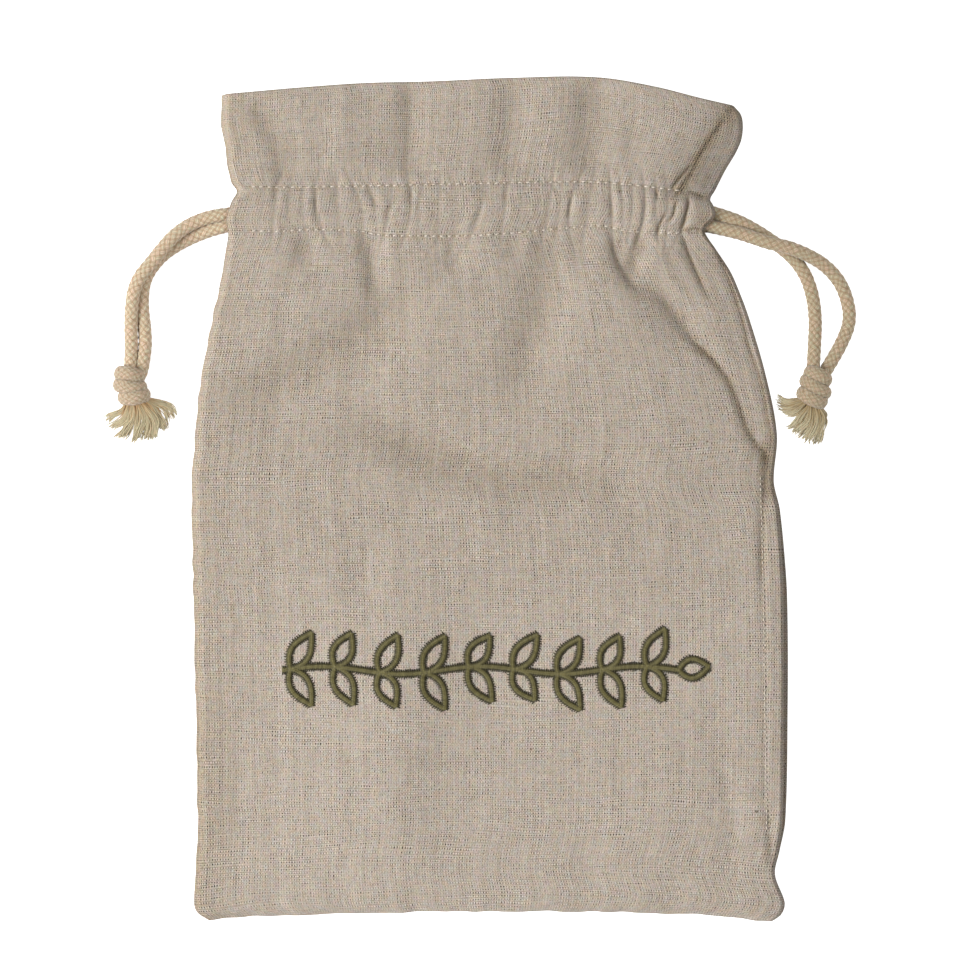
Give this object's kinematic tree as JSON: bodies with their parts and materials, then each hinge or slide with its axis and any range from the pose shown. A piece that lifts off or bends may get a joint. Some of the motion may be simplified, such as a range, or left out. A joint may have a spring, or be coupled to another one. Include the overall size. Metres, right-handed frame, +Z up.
{
  "type": "potato sack",
  "caption": "Empty drawstring linen sack lying flat on its back, with a gathered casing, a ruffled header with an open mouth, and knotted, frayed cotton drawcords at each side.",
  "frame": {"origin": "bottom centre of the box around the two cloth panels, on the surface the sack lies on; the cords aren't part of that box", "axes": "+X across the sack to the right as seen from above, +Y from the bottom seam to the mouth, +Z up, away from the surface"},
  "size_m": [0.3608, 0.401, 0.015],
  "materials": {
    "linen": "matt plain weave of undyed linen and cotton, with slubs",
    "cotton_cord": "soft braided undyed cotton cord",
    "sewing_thread": "twisted cream sewing thread",
    "olive_thread": "glossy satin stitch in olive green embroidery thread"
  },
  "bodies": {
    "root": {"back_panel": "linen", "front_panel": "linen", "cord_left_upper": "cotton_cord", "cord_left_lower": "cotton_cord", "cord_right_upper": "cotton_cord", "cord_right_lower": "cotton_cord", "knot_left": "cotton_cord", "knot_right": "cotton_cord"}
  },
  "joints": []
}
